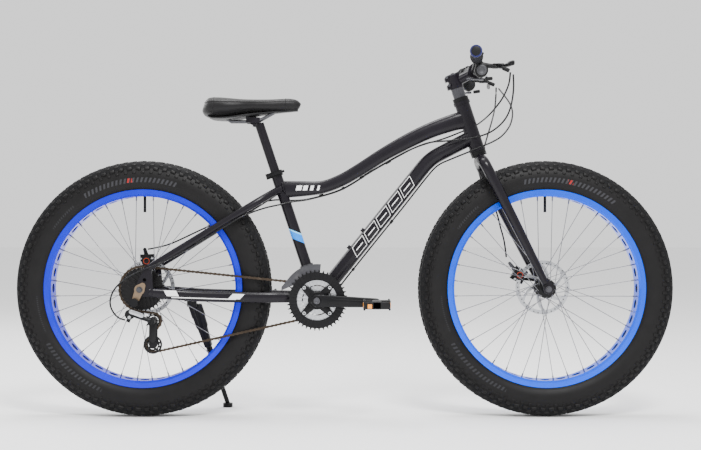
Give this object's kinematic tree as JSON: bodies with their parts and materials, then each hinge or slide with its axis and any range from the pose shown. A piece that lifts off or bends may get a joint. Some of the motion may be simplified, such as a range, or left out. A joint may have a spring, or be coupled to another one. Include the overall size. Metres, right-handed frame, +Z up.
{
  "type": "fat-tyre mountain bike",
  "caption": "Rigid-fork mountain bike with fat knobbed tyres, blue rims, disc brakes, derailleur gears and a deployed kickstand.",
  "frame": {"origin": "on the ground, midway between the two axles, in the wheels' plane", "axes": "+X forwards, +Y to the rider's left, +Z up"},
  "size_m": [1.918, 0.6894, 1.0427],
  "materials": {
    "frame_paint": "satin",
    "black_alloy": "anodised satin",
    "silver_metal": "brushed",
    "bronze_metal": "anodised",
    "chain_steel": "oiled",
    "black_plastic": "matte",
    "cable_sheath": "gloss",
    "grip_rubber": "matte",
    "tyre_rubber": "matte",
    "inner_tube_rubber": "matte",
    "rim_blue_front": "gloss",
    "rim_blue_rear": "gloss",
    "saddle_cover": "smooth"
  },
  "bodies": {
    "frame": {"head_tube": "frame_paint", "top_tube": "frame_paint", "down_tube": "frame_paint", "seat_tube": "frame_paint", "bottom_bracket": "black_alloy", "chain_stays": "frame_paint", "seat_stays": "frame_paint", "dropouts": "frame_paint", "derailleur_hanger": "bronze_metal", "headset_cups": "black_alloy", "seat_clamp": "black_alloy", "front_derailleur": "silver_metal", "rear_derailleur": "black_alloy", "rear_calliper": "black_alloy", "rear_axle": "silver_metal", "kickstand_bracket": "black_alloy", "cable_guides": "black_plastic", "chain": "chain_steel", "frame_cables": "cable_sheath"},
    "fork": {"fork_steerer": "frame_paint", "fork_legs": "frame_paint", "front_axle": "silver_metal", "stem": "black_alloy", "stem_hardware": "silver_metal", "handlebar": "black_alloy", "grips": "grip_rubber", "control_pods": "black_plastic", "front_calliper": "black_alloy", "front_brake_cable": "cable_sheath"},
    "brake_lever_left": {"brake_lever_left": "black_alloy"},
    "brake_lever_right": {"brake_lever_right": "black_alloy"},
    "thumb_lever_left": {"thumb_lever_left": "black_plastic"},
    "thumb_lever_right": {"thumb_lever_right": "black_plastic"},
    "front_wheel": {"front_tyre": "tyre_rubber", "front_tube": "inner_tube_rubber", "front_rim": "rim_blue_front", "front_spokes": "silver_metal", "front_hub": "black_alloy", "front_rotor": "silver_metal"},
    "rear_wheel": {"rear_tyre": "tyre_rubber", "rear_tube": "inner_tube_rubber", "rear_rim": "rim_blue_rear", "rear_spokes": "silver_metal", "rear_hub": "black_alloy", "rear_rotor": "silver_metal"},
    "cassette": {"cassette": "silver_metal"},
    "guide_pulley": {"guide_pulley": "black_plastic"},
    "tension_pulley": {"tension_pulley": "black_plastic"},
    "crank": {"crank_spindle": "silver_metal", "crank_arms": "black_alloy", "chainrings": "silver_metal"},
    "pedal_left": {"pedal_left": "black_plastic"},
    "pedal_right": {"pedal_right": "black_plastic"},
    "seat": {"seatpost": "black_alloy", "saddle_rails": "silver_metal", "saddle": "saddle_cover"},
    "kickstand_leg": {"kickstand_leg": "black_alloy"},
    "seat_clamp_lever": {"seat_clamp_lever": "black_alloy"},
    "front_calliper_arm": {"front_calliper_arm": "black_alloy"},
    "rear_calliper_arm": {"rear_calliper_arm": "black_alloy"}
  },
  "joints": [
    {"name": "steering", "type": "hinge", "parent": "frame", "child": "fork", "pos_m": [0.36516, 0, 0.84714], "axis": [-0.314, 0, 0.9494], "range_deg": [-60, 60], "deforming": ["frame_cables"]},
    {"name": "front_wheel_spin", "type": "hinge", "parent": "fork", "child": "front_wheel", "pos_m": [0.586, 0, 0.373], "axis": [0, 1, 0], "continuous": true},
    {"name": "rear_wheel_spin", "type": "hinge", "parent": "frame", "child": "rear_wheel", "pos_m": [-0.586, 0, 0.373], "axis": [0, 1, 0], "continuous": true},
    {"name": "crank_spin", "type": "hinge", "parent": "frame", "child": "crank", "pos_m": [-0.08, 0, 0.341], "axis": [0, 1, 0], "continuous": true, "deforming": ["chain"]},
    {"name": "cassette_spin", "type": "hinge", "parent": "frame", "child": "cassette", "pos_m": [-0.586, -0.055, 0.373], "axis": [0, 1, 0], "continuous": true, "deforming": ["chain"]},
    {"name": "guide_pulley_spin", "type": "hinge", "parent": "frame", "child": "guide_pulley", "pos_m": [-0.553, -0.055, 0.281], "axis": [0, 1, 0], "continuous": true, "deforming": ["chain"]},
    {"name": "tension_pulley_spin", "type": "hinge", "parent": "frame", "child": "tension_pulley", "pos_m": [-0.55388, -0.055, 0.21301], "axis": [0, 1, 0], "continuous": true, "deforming": ["chain"]},
    {"name": "pedal_right_spin", "type": "hinge", "parent": "crank", "child": "pedal_right", "pos_m": [0.0899, -0.15, 0.33507], "axis": [0, 1, 0], "continuous": true},
    {"name": "pedal_left_spin", "type": "hinge", "parent": "crank", "child": "pedal_left", "pos_m": [-0.2499, 0.15, 0.34693], "axis": [0, 1, 0], "continuous": true},
    {"name": "seat_height", "type": "slide", "parent": "frame", "child": "seat", "axis": [-0.3156, 0, 0.9489], "range_m": [-0.1, 0.08]},
    {"name": "seat_clamp_lever_swing", "type": "hinge", "parent": "frame", "child": "seat_clamp_lever", "pos_m": [-0.22461, -0.022, 0.69969], "axis": [0.3156, 0, -0.9489], "range_deg": [0, 150]},
    {"name": "kickstand_fold", "type": "hinge", "parent": "frame", "child": "kickstand_leg", "pos_m": [-0.456, 0.092, 0.329], "axis": [0.194, 0.922, 0.335], "range_deg": [0, 105]},
    {"name": "brake_lever_left_pull", "type": "hinge", "parent": "fork", "child": "brake_lever_left", "pos_m": [0.4293, 0.196, 1.00073], "axis": [0, 0, 1], "range_deg": [0, 18], "stiffness_Nm_per_rad": 1.5, "springref_deg": -5.73},
    {"name": "brake_lever_right_pull", "type": "hinge", "parent": "fork", "child": "brake_lever_right", "pos_m": [0.4293, -0.196, 1.00073], "axis": [0, 0, -1], "range_deg": [0, 18], "stiffness_Nm_per_rad": 1.5, "springref_deg": -5.73},
    {"name": "thumb_lever_left_push", "type": "hinge", "parent": "fork", "child": "thumb_lever_left", "pos_m": [0.38032, 0.196, 0.96411], "axis": [0, 0, -1], "range_deg": [0, 25], "stiffness_Nm_per_rad": 0.1, "springref_deg": -5.73},
    {"name": "thumb_lever_right_push", "type": "hinge", "parent": "fork", "child": "thumb_lever_right", "pos_m": [0.38032, -0.196, 0.96411], "axis": [0, 0, 1], "range_deg": [0, 25], "stiffness_Nm_per_rad": 0.1, "springref_deg": -5.73},
    {"name": "front_calliper_arm_pull", "type": "hinge", "parent": "fork", "child": "front_calliper_arm", "pos_m": [0.51713, 0.07, 0.40962], "axis": [0, -1, 0], "range_deg": [0, 30]},
    {"name": "rear_calliper_arm_pull", "type": "hinge", "parent": "frame", "child": "rear_calliper_arm", "pos_m": [-0.58872, 0.082, 0.45095], "axis": [0, -1, 0], "range_deg": [0, 30]}
  ],
  "couplings": [
    {"joint": "cassette_spin", "follows": "crank_spin", "ratio": 0.6875},
    {"joint": "guide_pulley_spin", "follows": "crank_spin", "ratio": -2},
    {"joint": "tension_pulley_spin", "follows": "crank_spin", "ratio": 2},
    {"joint": "front_calliper_arm_pull", "follows": "brake_lever_left_pull", "ratio": 1.2},
    {"joint": "rear_calliper_arm_pull", "follows": "brake_lever_right_pull", "ratio": 1.2}
  ]
}
